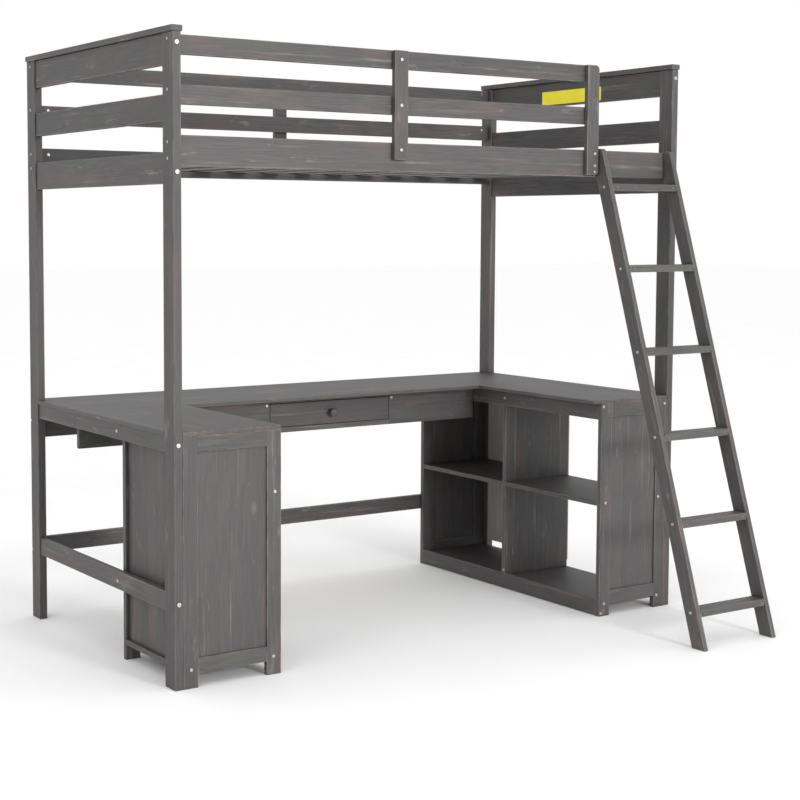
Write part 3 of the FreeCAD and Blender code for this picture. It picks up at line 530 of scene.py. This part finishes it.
# ---- floor, light and camera ------------------------------------------------------------
FLOOR_REACH = 40.0
KEY_AT = (0.6, -8.4, 2.7)
KEY_SIZE = 1.8
KEY_POWER = 380.0
SIDE_AT = (-5.0, -2.5, 4.0)
SIDE_SIZE = 2.0
SIDE_POWER = 25.0
LIGHTS_AIM = (0.0, 0.0, 0.9)
SENSOR_WIDTH = 36.0
CAMERA_AT = (-3.1353, -4.3938, 1.378)
CAMERA_YAW = 33.11                  # degrees from +Y towards +X
CAMERA_DOWN = 4.33
CAMERA_ROLL = 0.17
CAMERA_LENS = 71.39
CAMERA_SHIFT = (0.0824, -0.0680)


def floor():
    m = Material("floor_paint")
    place = m.add("TexCoord").outputs["Object"]
    mottle = m.noise(place, 3.0, 4.0)
    colour = m.mix(m.ramp(mottle, 0.3, 0.7), rgb(0.97, 0.97, 0.97), rgb(0.99, 0.99, 0.99))
    m.finish(colour, 0.85)
    mesh = bpy.data.meshes.new("floor")
    r = FLOOR_REACH
    z = CAD_BOX[0][2]
    mesh.from_pydata([(-r, -r, z), (r, -r, z), (r, r, z), (-r, r, z)], [], [(0, 1, 2, 3)])
    mesh.materials.append(m.made)
    ground = bpy.data.objects.new("floor", mesh)
    bpy.context.scene.collection.objects.link(ground)


def area_light(name, place, aim, size, power):
    data = bpy.data.lights.new(name, "AREA")
    data.shape = "DISK"
    data.size = size
    data.energy = power
    lamp = bpy.data.objects.new(name, data)
    bpy.context.scene.collection.objects.link(lamp)
    lamp.location = place
    lamp.rotation_mode = "QUATERNION"
    lamp.rotation_quaternion = (Vector(aim) - Vector(place)).to_track_quat("-Z", "Y")


def studio():
    world = bpy.data.worlds.new("studio")
    world.use_nodes = True
    sky = world.node_tree.nodes["Background"]
    sky.inputs["Color"].default_value = rgb(1.0, 1.0, 1.0)
    sky.inputs["Strength"].default_value = 1.0
    bpy.context.scene.world = world
    area_light("key_light", KEY_AT, LIGHTS_AIM, KEY_SIZE, KEY_POWER)
    area_light("side_light", SIDE_AT, LIGHTS_AIM, SIDE_SIZE, SIDE_POWER)
    bpy.context.scene.view_settings.view_transform = "Standard"


def camera():
    yaw = math.radians(CAMERA_YAW)
    down = math.radians(CAMERA_DOWN)
    roll = math.radians(CAMERA_ROLL)
    ahead = Vector((math.sin(yaw) * math.cos(down), math.cos(yaw) * math.cos(down), -math.sin(down)))
    right = Vector((math.cos(yaw), -math.sin(yaw), 0.0))
    up = right.cross(ahead)
    rolled_right = right * math.cos(roll) + up * math.sin(roll)
    rolled_up = up * math.cos(roll) - right * math.sin(roll)
    data = bpy.data.cameras.new("camera")
    data.sensor_width = SENSOR_WIDTH
    data.lens = CAMERA_LENS
    data.shift_x, data.shift_y = CAMERA_SHIFT
    eye = bpy.data.objects.new("camera", data)
    axes = Matrix((rolled_right, rolled_up, -ahead)).transposed().to_4x4()
    eye.matrix_world = Matrix.Translation(CAMERA_AT) @ axes
    bpy.context.scene.collection.objects.link(eye)
    bpy.context.scene.camera = eye


# ---- build -------------------------------------------------------------------------------
dress()
blank_label()
floor()
studio()
camera()
